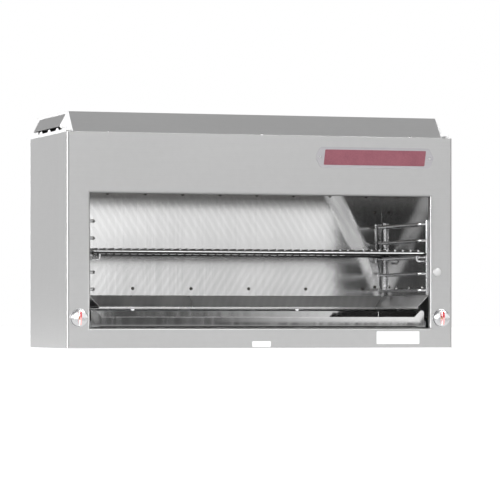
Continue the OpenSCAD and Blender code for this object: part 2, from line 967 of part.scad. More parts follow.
// A quarter bend of wire round a centre on the level z, starting at the angle given.
module wire_bend(x, y, z, bend, r, start) {
    translate([x, y, z]) rotate([0, 0, start])
        rotate_extrude(angle = 90) translate([bend, 0]) circle(r);
}

// Right-hand ladder: two posts, and a rung for each level that bends out to cross them where it
// is welded on, in a wide sweep at the front and in a tight bend at the rear.
module rack_guide() {
    r = guide_d / 2;
    y0 = post_y0 + guide_d - weld;
    y1 = post_y1 - guide_d + weld;
    bend_x = rung_x + guide_bend;
    color("whitesmoke") {
        for (y = [post_y0, post_y1])
            z_rod(post_x, y, apron_top, top_level_z + post_over, r);
        for (i = [0 : levels - 1]) {
            z = first_z + i * level_pitch;
            y_rod(rung_x, y0 + toe_bend, y1 - guide_bend, z, r);
            wire_bend(rung_x + toe_bend, y0 + toe_bend, z, toe_bend, r, 180);
            x_rod(rung_x + toe_bend, liner_x - 0.5, y0, z, r);
            wire_bend(bend_x, y1 - guide_bend, z, guide_bend, r, 90);
            x_rod(bend_x, liner_x - 0.5, y1, z, r);
        }
    }
}

module left_rack_guide() {
    on_side(-1) rack_guide();
}

module right_rack_guide() {
    rack_guide();
}

// One hook of the rack: down beside the rung, then outward below it.
module rack_hook(y) {
    r = hook_d / 2;
    z_rod(hook_x, y, hook_z + hook_r, frame_z, r);
    translate([hook_x + hook_r, y, hook_z + hook_r]) rotate([-90, 0, 0]) rotate([0, 0, 90])
        rotate_extrude(angle = 90) translate([hook_r, 0]) circle(r);
    x_rod(hook_x + hook_r, frame_x + 4, y, hook_z, r);
}

// Perimeter rods, cross rods under the fine wires, and the four hooks.
module rack_frame() {
    r = frame_d / 2;
    color("whitesmoke") {
        for (y = [frame_y0, frame_y1]) {
            x_rod(-frame_x, frame_x, y, frame_z, r);
            both_sides() translate([frame_x, y, frame_z]) sphere(r);
        }
        both_sides() y_rod(frame_x, frame_y0, frame_y1, frame_z, r);
        for (i = [1 : cross_rods])
            x_rod(-frame_x, frame_x, frame_y0 + i * (frame_y1 - frame_y0) / (cross_rods + 1),
                  frame_z + (frame_d - wire_d) / 2, wire_d / 2);
        both_sides() for (y = [frame_y0, frame_y1]) rack_hook(y);
    }
}

module rack_wires() {
    r = wire_d / 2;
    color("whitesmoke")
    for (i = [0 : wire_count - 1]) {
        x = (i - (wire_count - 1) / 2) * wire_pitch;
        y_rod(x, frame_y0 - 2, frame_y1 + 2, wire_z, r);
    }
}

// ---- Drip pan ----

// Runners: a foot on the bottom panel and an upright web, with a notch for the manifold.
module pan_runners() {
    top = ledge_z + runner_guide_h;
    notch = pipe_r + 2;
    color(galvanised)
    both_sides() difference() {
        along_y(runner_y0, runner_y1)
        polygon([
            [runner_x, skin], [runner_x + 10, skin], [runner_x + 10, skin + liner],
            [runner_x + liner, skin + liner], [runner_x + liner, top], [runner_x, top]
        ]);
        block([runner_x - 1, manifold_y - notch, skin - 1],
              [runner_x + 11, manifold_y + notch, manifold_z]);
        x_rod(runner_x - 1, runner_x + 11, manifold_y, manifold_z, notch);
    }
}

// The ledges that the pan slides on, each welded along its runner's web.
module pan_ledges() {
    color(galvanised)
    both_sides() block([runner_x - ledge_w, runner_y0, ledge_z - liner], [runner_x, runner_y1, ledge_z]);
}

module drip_pan() {
    slope = pan_h - pan_front_h;
    z0 = pan_floor_z;
    color(polished)
    difference() {
        block([-pan_x, pan_y0, z0], [pan_x, pan_y1, pan_top]);
        block([-pan_x + liner, pan_y0 + liner, z0 + liner],
              [pan_x - liner, pan_y1 - liner, pan_top + 1]);
        along_y(pan_y0 - 1, pan_y0 + liner + 1)
        polygon([
            [-pan_x + ear_w, pan_top + 1], [-pan_x + ear_w, pan_top],
            [-pan_x + ear_w + slope, z0 + pan_front_h], [pan_x - ear_w - slope, z0 + pan_front_h],
            [pan_x - ear_w, pan_top], [pan_x - ear_w, pan_top + 1]
        ]);
        both_sides() along_y(pan_y0 - 1, pan_y0 + liner + 1)
            polygon([
                [pan_x + 1, pan_top + 1], [pan_x - 4, pan_top + 1], [pan_x - 4, pan_top],
                [pan_x, pan_top - 4], [pan_x + 1, pan_top - 4]
            ]);
    }
}

// ---- Knobs ----

knob_back = 3;
knob_rim_h = 4;
knob_dome_h = 8;
hub_depth = 9;

// Everything about a knob is drawn standing on z = 0 with its axis along +Z and its grip along Y.
module at_knob(side) {
    translate([side * knob_x, front_y - knob_back, knob_z]) rotate([90, 0, 0]) children();
}

function cap_radius(half, rise) = (half * half + rise * rise) / (2 * rise);

module grip_arch(extra) {
    rise = 6;
    arch_r = cap_radius(knob_d / 2 - 1, rise);
    translate([-knob_d / 2, 0, grip_h - arch_r]) rotate([0, 90, 0])
        cylinder(h = knob_d, r = arch_r + extra, $fn = 96);
}

module knob() {
    skirt_r = knob_d / 2;
    dome_r = cap_radius(skirt_r, knob_dome_h - knob_rim_h);
    color("whitesmoke")
    difference() {
        union() {
            cylinder(h = knob_rim_h, r = skirt_r);
            intersection() {
                translate([0, 0, knob_dome_h - dome_r]) sphere(dome_r, $fn = 96);
                cylinder(h = knob_dome_h, r = skirt_r);
            }
            intersection() {
                rotate([90, 0, 0]) translate([0, 0, -skirt_r]) linear_extrude(knob_d)
                    polygon([[-7, 1], [7, 1], [4, grip_h], [-4, grip_h]]);
                grip_arch(0);
                cylinder(h = grip_h, r = skirt_r - 1);
            }
        }
        translate([0, 0, -1]) cylinder(h = hub_depth + 1, r = stem_r + 0.05);
    }
}

module knob_pointer() {
    color("firebrick")
    intersection() {
        difference() {
            grip_arch(0.4);
            grip_arch(0);
        }
        block([-pointer_w / 2, -knob_d / 2 + 3, 0], [pointer_w / 2, knob_d / 2 - 3, grip_h + 1]);
    }
}

module valve_stem(side) {
    color("goldenrod")
    y_rod(side * knob_x, front_y - knob_back - hub_depth, valve_y0 + 18, knob_z, stem_r);
}

module left_knob() {
    at_knob(-1) knob();
}

module right_knob() {
    at_knob(1) knob();
}

module left_knob_pointer() {
    at_knob(-1) knob_pointer();
}

module right_knob_pointer() {
    at_knob(1) knob_pointer();
}

module left_valve_stem() {
    valve_stem(-1);
}

module right_valve_stem() {
    valve_stem(1);
}

module knob_bezels() {
    color("whitesmoke")
    for (x = [-knob_x, knob_x])
        difference() {
            y_rod(x, front_y - 1.2, front_y, knob_z, knob_d / 2 + 2);
            y_rod(x, front_y - 2, front_y + 1, knob_z, stem_r + 3);
        }
}

// ---- Plates, plug and fasteners ----

module hole_plug() {
    color("gainsboro")
    translate([plug_x, front_y, plug_z]) rotate([90, 0, 0]) {
        screw_head(2 * plug_r, 3);
        translate([0, 0, -skin - 4]) difference() {
            cylinder(h = skin + 4, r = plug_r - 2.2);
            translate([0, 0, -1]) cylinder(h = skin + 4, r = plug_r - 3.4);
        }
    }
}

// Nameplate outline: a long plate whose ends come to a blunt point.
module plate_outline() {
    h = plate_h / 2;
    blunt = 3;
    polygon([
        [plate_x0 + plate_tip, plate_z + h], [plate_x1 - plate_tip, plate_z + h],
        [plate_x1, plate_z + blunt], [plate_x1, plate_z - blunt],
        [plate_x1 - plate_tip, plate_z - h], [plate_x0 + plate_tip, plate_z - h],
        [plate_x0, plate_z - blunt], [plate_x0, plate_z + blunt]
    ]);
}

module nameplate() {
    color("gainsboro")
    along_y(front_y - plate_t, front_y) plate_outline();
}

module nameplate_enamel() {
    edge = 6;
    y1 = front_y - plate_t;
    color("indianred")
    block([plate_x0 + enamel_in, y1 - enamel_t, plate_z - plate_h / 2 + edge],
          [plate_x1 - enamel_in, y1, plate_z + plate_h / 2 - edge]);
}

// Two plain labels on the bottom rail.
module blank_labels() {
    color("white") {
        block([label_x, front_y - label_t, label_z], [label_x + label_w, front_y, label_z + label_h]);
        block([small_x, front_y - label_t, small_z], [small_x + small_w, front_y, small_z + small_h]);
    }
}

// A row of screw heads across the back wall.
module wall_screw_row(count, edge, z) {
    for (i = [0 : count - 1])
        translate([(2 * i / (count - 1) - 1) * (liner_x - edge), back_y, z])
            rotate([90, 0, 0]) screw_head();
}

// Screw heads: hood foot, nameplate, rear panel, back wall and side liners.
module screw_heads() {
    low_z = apron_top + 17;
    liner_y0 = front_y + 59;
    liner_y1 = back_y - 99;
    color("gainsboro") {
        for (i = [-1 : 1])
            translate([i * top_screw_pitch, front_y + top_screw_back, front_h + hood_sheet])
                screw_head();
        for (x = [plate_x0 + plate_screw_in, plate_x1 - plate_screw_in])
            translate([x, front_y - plate_t, plate_z]) rotate([90, 0, 0]) screw_head(6, 1.6);
        for (i = [-2 : 2], z = [20, front_h - 20])
            translate([i * (side_x - 20) / 2, rear_y, z]) rotate([-90, 0, 0]) screw_head();
        wall_screw_row(6, 50, low_z - 1);
        wall_screw_row(9, 40, ceiling_z - 14);
        both_sides() {
            for (z = [low_z + 4, ceiling_z - 52])
                translate([liner_x - 18, back_y, z]) rotate([90, 0, 0]) screw_head();
            for (i = [0 : 2])
                translate([liner_x, liner_y0 + i * (liner_y1 - liner_y0) / 2, low_z])
                    rotate([0, -90, 0]) screw_head();
        }
    }
}

front_panel();
left_side_panel();
right_side_panel();
rear_panel();
rear_corner_strips();
bottom_panel();
top_deck();
joining_angles();
wall_rails();
leg_sockets();
cavity_back_wall();
left_liner();
right_liner();
cavity_ceiling();
flue_baffle();
left_burner_housing();
right_burner_housing();
burner_tiles();
burner_screens();
left_mixer();
right_mixer();
orifice_spuds();
heat_shield();
insulation_blankets();
gas_manifold();
manifold_brackets();
gas_inlet();
gas_regulator();
gas_feed_pipe();
left_gas_valve();
right_gas_valve();
supply_tubes();
pilot_burners();
pilot_tubes();
hood_shell();
left_hood_flap();
right_hood_flap();
hood_cheeks();
left_vent_strip();
right_vent_strip();
left_rack_guide();
right_rack_guide();
rack_frame();
rack_wires();
pan_runners();
pan_ledges();
drip_pan();
knob_bezels();
left_knob();
left_knob_pointer();
left_valve_stem();
right_knob();
right_knob_pointer();
right_valve_stem();
hole_plug();
nameplate();
nameplate_enamel();
blank_labels();
screw_heads();
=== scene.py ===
import json
import math

import bpy
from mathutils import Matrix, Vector

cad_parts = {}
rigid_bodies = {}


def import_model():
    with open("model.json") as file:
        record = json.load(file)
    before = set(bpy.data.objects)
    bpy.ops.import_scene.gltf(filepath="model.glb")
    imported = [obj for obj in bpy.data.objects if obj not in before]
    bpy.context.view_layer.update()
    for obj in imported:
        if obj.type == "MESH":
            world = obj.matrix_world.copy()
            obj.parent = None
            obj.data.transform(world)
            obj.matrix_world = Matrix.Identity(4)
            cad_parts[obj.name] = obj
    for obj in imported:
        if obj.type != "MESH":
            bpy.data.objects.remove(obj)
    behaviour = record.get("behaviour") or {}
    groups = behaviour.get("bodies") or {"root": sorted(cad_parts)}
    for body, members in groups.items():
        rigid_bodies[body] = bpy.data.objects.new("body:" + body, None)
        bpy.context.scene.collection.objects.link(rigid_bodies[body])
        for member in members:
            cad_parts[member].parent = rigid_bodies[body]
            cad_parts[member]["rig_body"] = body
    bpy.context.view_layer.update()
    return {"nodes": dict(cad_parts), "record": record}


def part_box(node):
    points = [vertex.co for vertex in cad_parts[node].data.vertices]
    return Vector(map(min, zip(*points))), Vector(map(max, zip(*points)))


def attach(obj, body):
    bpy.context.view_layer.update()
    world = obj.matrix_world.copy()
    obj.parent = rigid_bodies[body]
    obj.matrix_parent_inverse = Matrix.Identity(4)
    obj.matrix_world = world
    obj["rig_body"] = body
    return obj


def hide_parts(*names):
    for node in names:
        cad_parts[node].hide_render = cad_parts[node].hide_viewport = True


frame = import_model()


# Front panel: one sheet of brushed stainless steel that is wrapped round both front corners, with
# a window whose four edges are turned in as lips. It is screwed to the case through its flanges.
SLOT_OF = {part["node"]: part["material_slot"] for part in frame["record"]["subparts"]}


def pick(*pieces):
    """Leaves only these pieces selected, with the first one active."""
    bpy.ops.object.select_all(action="DESELECT")
    for piece in pieces:
        piece.select_set(True)
    bpy.context.view_layer.objects.active = pieces[0]


def fix_place(piece):
    """Puts a piece's place, turn and scale in its mesh."""
    pick(piece)
    bpy.ops.object.transform_apply(location=True, rotation=True, scale=True)


def soften(piece, edge, sharp=40, segments=2):
    """Rounds a piece's sharp edges, and shades it smooth with its flat faces kept flat."""
    pick(piece)
    if edge:
        rounding = piece.modifiers.new("rounding", "BEVEL")
        rounding.width = edge
        rounding.segments = segments
        rounding.limit_method = "ANGLE"
        rounding.angle_limit = math.radians(sharp)
        rounding.use_clamp_overlap = False
        bpy.ops.object.modifier_apply(modifier=rounding.name)
    bpy.ops.object.shade_smooth_by_angle(angle=math.radians(sharp + 10))
    even = piece.modifiers.new("even", "WEIGHTED_NORMAL")
    even.keep_sharp = True
    bpy.ops.object.modifier_apply(modifier=even.name)


def settle(piece, body, slot, finish, *nodes):
    """Fixes a finished piece in its place, and gives it its body, finish and nodes; the slot is not
    used.
    """
    fix_place(piece)
    piece.data.materials.clear()
    piece.data.materials.append(finish)
    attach(piece, body)
    if nodes:
        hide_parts(*nodes)


def formed(name, finish, edge=0.0003, sharp=40, shape=None):
    """Makes the piece for one node: its solid with whole faces and rounded edges."""
    solid = frame["nodes"][name]
    piece = bpy.data.objects.new(f"{name}_made", solid.data.copy())
    bpy.context.scene.collection.objects.link(piece)
    pick(piece)
    bpy.ops.object.mode_set(mode="EDIT")
    bpy.ops.mesh.select_all(action="SELECT")
    bpy.ops.mesh.remove_doubles(threshold=0.00001)
    bpy.ops.mesh.dissolve_limited(angle_limit=math.radians(0.5))
    bpy.ops.object.mode_set(mode="OBJECT")
    if shape:
        shape(piece)
    soften(piece, edge, sharp)
    settle(piece, solid["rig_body"], SLOT_OF[name], finish, name)


def select_where(piece, kind, test):
    """Opens edit mode with only the faces or edges selected that pass the test."""
    pick(piece)
    bpy.ops.object.mode_set(mode="EDIT")
    bpy.ops.mesh.select_mode(type=kind)
    bpy.ops.mesh.select_all(action="DESELECT")
    bpy.ops.object.mode_set(mode="OBJECT")
    mesh = piece.data
    if kind == "FACE":
        for face in mesh.polygons:
            face.select = test(face.center, face.normal)
    else:
        for edge in mesh.edges:
            edge.select = test(*(mesh.vertices[i].co for i in edge.vertices))
    bpy.ops.object.mode_set(mode="EDIT")


def object_place(tree):
    """The point of the object that is shaded, in metres."""
    return tree.nodes.new("ShaderNodeTexCoord").outputs["Object"]


def new_pattern(name, settings):
    """A node group with these inputs and the outputs Tone, Gloss and Relief.

    Returns it with what it is given and the point that is shaded.
    """
    pattern = bpy.data.node_groups.new(name, "ShaderNodeTree")
    for label, value in settings.items():
        kind = "NodeSocketVector" if isinstance(value, tuple) else "NodeSocketFloat"
        socket = pattern.interface.new_socket(label, in_out="INPUT", socket_type=kind)
        socket.default_value = value
    for label in ("Tone", "Gloss", "Relief"):
        pattern.interface.new_socket(label, in_out="OUTPUT", socket_type="NodeSocketFloat")
    given = pattern.nodes.new("NodeGroupInput")
    return pattern, given.outputs, object_place(pattern)


def put_out(pattern, tone, gloss, relief):
    """Feeds the three outputs of a pattern."""
    result = pattern.nodes.new("NodeGroupOutput")
    for label, value in (("Tone", tone), ("Gloss", gloss), ("Relief", relief)):
        pattern.links.new(value, result.inputs[label])


def node(tree, kind, links=None, **values):
    """Adds a shader node, sets its properties, and feeds its sockets from values or outputs."""
    made = tree.nodes.new(kind)
    for label, value in values.items():
        setattr(made, label, value)
    for label, value in (links or {}).items():
        if isinstance(value, bpy.types.NodeSocket):
            tree.links.new(value, made.inputs[label])
        else:
            made.inputs[label].default_value = value
    return made


def noise(tree, place, scale, detail=3.0, distortion=0.0):
    """A noise value from 0 to 1 over the object, with so many cells to the metre on each axis."""
    at = node(tree, "ShaderNodeVectorMath", {0: place, 1: scale}, operation="MULTIPLY")
    made = node(tree, "ShaderNodeTexNoise", {"Vector": at.outputs[0], "Scale": 1.0,
                                             "Detail": detail, "Distortion": distortion})
    return made.outputs["Fac"]


def fit(tree, value, low, high, to_low=0.0, to_high=1.0, curve="LINEAR"):
    """Maps a value's range onto another one, and holds it there."""
    made = node(tree, "ShaderNodeMapRange", {0: value, 1: low, 2: high, 3: to_low, 4: to_high},
                interpolation_type=curve)
    return made.outputs[0]


def calc(tree, first, sign, second=0.0):
    """The result of one sum. The sign is +, - or *, or else an operation's own name."""
    operation = {"+": "ADD", "-": "SUBTRACT", "*": "MULTIPLY"}.get(sign, sign)
    return node(tree, "ShaderNodeMath", {0: first, 1: second}, operation=operation).outputs[0]


brushed, given, place = new_pattern(
    "brushed_grain", {"Grain": (9.0, 9.0, 1400.0), "Mottle": 60.0, "Mottle share": 0.35})
grain = noise(brushed, place, given["Grain"], 5.0)
mottle = noise(brushed, place, given["Mottle"], 4.0)
cloud = noise(brushed, place, (3.0, 3.0, 3.0), 2.0)
both = node(brushed, "ShaderNodeMix", {0: given["Mottle share"], 2: grain, 3: mottle}).outputs[0]
put_out(brushed, fit(brushed, both, 0.25, 0.75),
        fit(brushed, calc(brushed, cloud, "+", grain), 0.6, 1.4), grain)


def finish_of(name, pattern, low, high, rough, metallic=1.0, relief=0.0, coat=0.0, **settings):
    """A material whose colour, roughness and fine relief follow one pattern."""
    material = bpy.data.materials.new(name)
    material.use_nodes = True
    tree = material.node_tree
    shader = tree.nodes["Principled BSDF"]
    shader.inputs["Metallic"].default_value = metallic
    shader.inputs["Coat Weight"].default_value = coat
    worked = node(tree, "ShaderNodeGroup", node_tree=pattern)
    for label, value in settings.items():
        worked.inputs[label.replace("_", " ").capitalize()].default_value = value
    tone = node(tree, "ShaderNodeMix", {0: worked.outputs["Tone"], 6: (*low, 1.0), 7: (*high, 1.0)},
                data_type="RGBA")
    tree.links.new(tone.outputs[2], shader.inputs["Base Color"])
    gloss = fit(tree, worked.outputs["Gloss"], 0.0, 1.0, *rough)
    tree.links.new(gloss, shader.inputs["Roughness"])
    if relief:
        bump = node(tree, "ShaderNodeBump", {"Strength": 0.5, "Distance": relief,
                                             "Height": worked.outputs["Relief"]}, name="fine_relief")
        tree.links.new(bump.outputs[0], shader.inputs["Normal"])
    return material


FRONT_Y = -0.184
SHEET = 0.0015
WINDOW_X = 0.403
WINDOW_LOW, WINDOW_TOP = 0.045, 0.345
BEND = 0.005
NEAR = 0.0001


def bend_window(piece):
    """Rounds the window's turned-in edges, outside and inside, as a press brake leaves them."""
    for y, grow, radius in ((FRONT_Y, 0.0, BEND), (FRONT_Y + SHEET, SHEET, BEND - SHEET)):
        def on_rim(*ends):
            near = all(abs(end.y - y) < NEAR for end in ends)
            beside = all(abs(abs(end.x) - WINDOW_X - grow) < NEAR for end in ends)
            under = all(abs(end.z - WINDOW_LOW + grow) < NEAR for end in ends)
            over = all(abs(end.z - WINDOW_TOP - grow) < NEAR for end in ends)
            inside = all(abs(end.x) < WINDOW_X + grow + NEAR for end in ends)
            return near and (beside or (inside and (under or over)))
        select_where(piece, "EDGE", on_rim)
        bpy.ops.mesh.bevel(offset=radius, segments=5, affect="EDGES", clamp_overlap=False)
        bpy.ops.object.mode_set(mode="OBJECT")


# The front's steel is painted darker than the sides' and the hood's, as painted shade.
shaded_front_steel = finish_of("shaded_front_steel", brushed, (0.49, 0.49, 0.49), (0.535, 0.535, 0.535),
                       (0.33, 0.43), relief=0.00001)
formed("front_panel", shaded_front_steel, edge=0.0004, shape=bend_window)


# Side panels, with the tabs that lap inside the front wrap, and the strips that cap the rear corners.
# The panels are of stainless steel, brushed like the front; the strips are smoother and painted
# lighter, as a highlight.
side_steel = finish_of("side_steel", brushed, (0.745, 0.745, 0.745), (0.795, 0.795, 0.795),
                       (0.36, 0.46), relief=0.00001, grain=(9.0, 9.0, 1200.0))
# This steel is painted near white, as a painted highlight on the corner strips, cheeks and vent
# strips.
painted_highlight_steel = finish_of("painted_highlight_steel", brushed, (0.90, 0.90, 0.90), (0.96, 0.96, 0.96), (0.36, 0.5),
                       metallic=0.25, grain=(12.0, 12.0, 500.0), mottle_share=0.6)
for side in ("left", "right"):
    formed(f"{side}_side_panel", side_steel)
formed("rear_corner_strips", painted_highlight_steel, edge=0.0006)


# Rear panel, bottom panel, top deck, their joining angles and the rails for wall bolts: steel sheet
# with the faint spangle of its zinc. They are spot-welded into a box that carries all the rest.
spangled, given, place = new_pattern("zinc_spangle", {"Flakes": 90.0})
flakes = node(spangled, "ShaderNodeTexVoronoi", {"Vector": place, "Scale": given["Flakes"]})
flake = node(spangled, "ShaderNodeSeparateColor", {0: flakes.outputs["Color"]}).outputs
haze = noise(spangled, place, (40.0, 40.0, 40.0), 4.0)
put_out(spangled, fit(spangled, calc(spangled, flake[0], "+", haze), 0.3, 1.7),
        fit(spangled, calc(spangled, flake[1], "+", haze), 0.3, 1.7), haze)
zinc_sheet = finish_of("zinc_sheet", spangled, (0.50, 0.51, 0.52), (0.62, 0.63, 0.64), (0.34, 0.5),
                       metallic=0.9, relief=0.00002)
for name in ("rear_panel", "bottom_panel", "top_deck", "joining_angles", "wall_rails"):
    formed(name, zinc_sheet)


# Leg sockets: four turned steel bushes with a thread, welded on the bottom panel near its corners.
# They are black from the mill, like the gas pipe.
cast, given, place = new_pattern("cast_skin", {"Grit": 900.0})
grit = noise(cast, place, given["Grit"])
blotch = noise(cast, place, (35.0, 35.0, 35.0))
put_out(cast, fit(cast, calc(cast, grit, "+", blotch), 0.6, 1.4), blotch, grit)
black_pipe = finish_of("black_pipe", cast, (0.05, 0.05, 0.05), (0.13, 0.125, 0.12), (0.45, 0.7),
                       metallic=0.7, relief=0.0001)
formed("leg_sockets", black_pipe)


# Cavity walls: a back wall and two liners of polished stainless steel, screwed to each other at the
# corners. Each ends below in an apron, dulled by cooking, that slopes outward to a hem. Slanting
# bands of painted reflection stand for the rack's image in the back wall, and a crease runs down its
# right end.
WALL_BACK_Y = 0.146
RACK_Z = 0.217
RACK_IMAGE_PITCH, RACK_IMAGE_LEAN = 0.019, 0.62
APRON_TOP_Z = (0.118, 0.1215)
APRON_ENDS_X = (-0.35, 0.35)
DULLED_METAL = (0.92, 0.45)
CREASE_X, CREASE_Z = 0.290, 0.345
ACROSS_CREASE_X, ACROSS_CREASE_Z = 0.884, 0.4675
CREASE_HALF_WIDTH = 0.025
CREASE_DEPTH = 0.0055
BOW_Z = (0.322, 0.395)
BOW_SHARE = 0.25


def split(tree, place):
    """The X, Y and Z of a place or a direction."""
    return node(tree, "ShaderNodeSeparateXYZ", {0: place}).outputs


polished, given, place = new_pattern("polish_streaks_and_painted_reflection", {"Streak": (260.0, 260.0, 2.0), "Bands": 0.0})
streak = noise(polished, place, given["Streak"], 4.0, 0.6)
haze = noise(polished, place, (9.0, 9.0, 9.0))
at = split(polished, place)
# Painted reflection: slanting bands at the wires' pitch, leaning away from the rack's height.
from_rack = calc(polished, calc(polished, at["Z"], "-", RACK_Z), "ABSOLUTE")
along = calc(polished, at["X"], "+", calc(polished, from_rack, "*", RACK_IMAGE_LEAN))
turns = calc(polished, along, "*", 2 * math.pi / RACK_IMAGE_PITCH)
painted_rack_image = calc(polished, fit(polished, calc(polished, turns, "SINE"), -0.6, 1.0), "*",
            fit(polished, from_rack, 0.015, 0.05))
worn = fit(polished, calc(polished, streak, "+", haze), 0.75, 1.25)
tone = calc(polished, calc(polished, worn, "*", 0.5), "+", calc(polished, painted_rack_image, "*", given["Bands"]))
put_out(polished, tone, worn, streak)
wall_steel = finish_of("wall_steel", polished, (0.75, 0.75, 0.75), (0.89, 0.89, 0.89), (0.14, 0.16),
                       relief=0.000005, bands=0.36)
liner_steel = finish_of("liner_steel", polished, (0.50, 0.50, 0.50), (0.66, 0.66, 0.66),
                        (0.06, 0.12), relief=0.00002)
for sheet in (wall_steel, liner_steel):
    tree = sheet.node_tree
    at = split(tree, object_place(tree))
    apron = fit(tree, at["X"], *APRON_ENDS_X, *DULLED_METAL)
    metal = calc(tree, apron, "MAXIMUM", fit(tree, at["Z"], *APRON_TOP_Z))
    tree.links.new(metal, tree.nodes["Principled BSDF"].inputs["Metallic"])
tree = wall_steel.node_tree
at = split(tree, object_place(tree))
off_crease = calc(
    tree, calc(tree, calc(tree, at["X"], "-", CREASE_X), "*", ACROSS_CREASE_X), "+",
    calc(tree, calc(tree, at["Z"], "-", CREASE_Z), "*", ACROSS_CREASE_Z))
fold = fit(tree, off_crease, -CREASE_HALF_WIDTH, CREASE_HALF_WIDTH, curve="SMOOTHSTEP")
bow = fit(tree, at["Z"], *BOW_Z, to_high=BOW_SHARE, curve="SMOOTHSTEP")
crease = node(tree, "ShaderNodeBump", {"Strength": 1.0, "Distance": CREASE_DEPTH,
                                       "Height": calc(tree, fold, "+", bow)})
tree.links.new(crease.outputs[0], tree.nodes["fine_relief"].inputs["Normal"])
formed("cavity_back_wall", wall_steel)
for side in ("left", "right"):
    formed(f"{side}_liner", liner_steel)


# Cavity ceiling and flue baffle: a sheet of stainless steel that the burners hang through, dulled by
# their heat, and a folded channel of zinc-coated sheet that stands between it and the top deck.
ceiling_steel = finish_of("ceiling_steel", brushed, (0.66, 0.66, 0.65), (0.76, 0.76, 0.75),
                          (0.40, 0.55), mottle_share=0.7)
formed("cavity_ceiling", ceiling_steel)
formed("flue_baffle", zinc_sheet)


# Burner housings: two plenum boxes of aluminised sheet that hang through the ceiling on their rims,
# dulled by heat. The ceramic tiles sit in their mouths and the rod screens hang below.
burner_sheet = finish_of("burner_sheet", brushed, (0.30, 0.29, 0.28), (0.46, 0.45, 0.43),
                         (0.42, 0.6), mottle_share=0.8, grain=(60.0, 60.0, 60.0))
for side in ("left", "right"):
    formed(f"{side}_burner_housing", burner_sheet)
# The tiles' holes are not cut: they are painted dark as painted shade, with a bump at their rims.
perforated, given, place = new_pattern("tile_holes", {"Holes": (625.0, 625.0, 0.0)})
cells = node(perforated, "ShaderNodeVectorMath", {0: place, 1: given["Holes"]}, operation="MULTIPLY")
in_cell = node(perforated, "ShaderNodeVectorMath", {0: cells.outputs[0]}, operation="FRACTION")
off_middle = node(perforated, "ShaderNodeVectorMath", {0: in_cell.outputs[0], 1: (0.5, 0.5, 0.0)},
                  operation="DISTANCE")
solid_part = fit(perforated, off_middle.outputs["Value"], 0.27, 0.37)
chalk = noise(perforated, place, (300.0, 300.0, 300.0))
put_out(perforated, calc(perforated, solid_part, "*", fit(perforated, chalk, 0.2, 0.8, 0.75, 1.0)),
        chalk, solid_part)
tile_ceramic = finish_of("tile_ceramic", perforated, (0.12, 0.09, 0.07), (0.84, 0.80, 0.72),
                         (0.8, 0.95), metallic=0.0, relief=0.0006)
formed("burner_tiles", tile_ceramic, edge=0.0005)
screen_rod = finish_of("screen_rod", cast, (0.10, 0.085, 0.075), (0.24, 0.20, 0.17), (0.4, 0.6),
                       metallic=0.9, relief=0.00004)
formed("burner_screens", screen_rod, edge=0.0)


# Mixers: cast iron tubes with a bell mouth that draw air in with the gas. The turned brass spuds in
# front of them aim the gas; each sits in a block on its supply tube's end. The pilots are brass too.
mixer_iron = finish_of("mixer_iron", cast, (0.16, 0.155, 0.15), (0.30, 0.29, 0.28), (0.5, 0.7),
                       metallic=0.8, relief=0.00025, grit=500.0)
for side in ("left", "right"):
    formed(f"{side}_mixer", mixer_iron, edge=0.0005, sharp=50)
turned_brass = finish_of("turned_brass", brushed, (0.62, 0.45, 0.20), (0.78, 0.60, 0.30),
                         (0.2, 0.35), relief=0.00001, grain=(30.0, 900.0, 30.0))
for name in ("orifice_spuds", "pilot_burners"):
    formed(name, turned_brass)


# Heat shield and blankets: a zinc-coated tray over the burners, and boards of pressed mineral wool
# above the burners, behind the back wall and outside both liners. The boards are only pushed in.
formed("heat_shield", zinc_sheet)
wool, given, place = new_pattern(
    "mineral_wool", {"Along": (90.0, 700.0, 700.0), "Across": (700.0, 90.0, 90.0)})
clump = noise(wool, place, (25.0, 25.0, 25.0))
fibres = calc(wool, noise(wool, place, given["Along"], 5.0, 1.5), "*",
              noise(wool, place, given["Across"], 5.0, 1.5))
put_out(wool, fit(wool, calc(wool, fibres, "+", clump), 0.4, 1.1), clump, fibres)
wool_board = finish_of("wool_board", wool, (0.52, 0.47, 0.36), (0.80, 0.76, 0.66), (0.9, 1.0),
                       metallic=0.0, relief=0.0012)
formed("insulation_blankets", wool_board, edge=0.002)


# Gas train: black iron manifold, feed pipe and inlet coupling, a die-cast regulator, brass valves
# and satin tubes to the burners and pilots. Brackets with a saddle carry the manifold.
for name in ("gas_manifold", "gas_inlet", "gas_feed_pipe"):
    formed(name, black_pipe)
formed("manifold_brackets", zinc_sheet)
die_cast = finish_of("die_cast", cast, (0.50, 0.50, 0.50), (0.64, 0.64, 0.64), (0.35, 0.5),
                     metallic=0.9, relief=0.00008, grit=700.0)
formed("gas_regulator", die_cast, edge=0.001)
for side in ("left", "right"):
    formed(f"{side}_gas_valve", turned_brass)
satin_tube = finish_of("satin_tube", brushed, (0.58, 0.58, 0.58), (0.70, 0.70, 0.70), (0.25, 0.4),
                       grain=(300.0, 30.0, 300.0))
for name in ("supply_tubes", "pilot_tubes"):
    formed(name, satin_tube, edge=0.0)


# Flue hood: a brushed steel shell bent from one sheet, screwed down along its foot, with leaning
# flaps at its ends, cheeks that close its corners, and toothed strips along the end vents.
hood_steel = finish_of("hood_steel", brushed, (0.76, 0.76, 0.76), (0.81, 0.81, 0.81), (0.36, 0.46),
                       relief=0.00001, grain=(9.0, 1200.0, 1200.0))
for name in ("hood_shell", "left_hood_flap", "right_hood_flap"):
    formed(name, hood_steel)
# The cheeks and strips are painted bright, as a painted highlight.
for name in ("hood_cheeks", "left_vent_strip", "right_vent_strip"):
    formed(name, painted_highlight_steel)


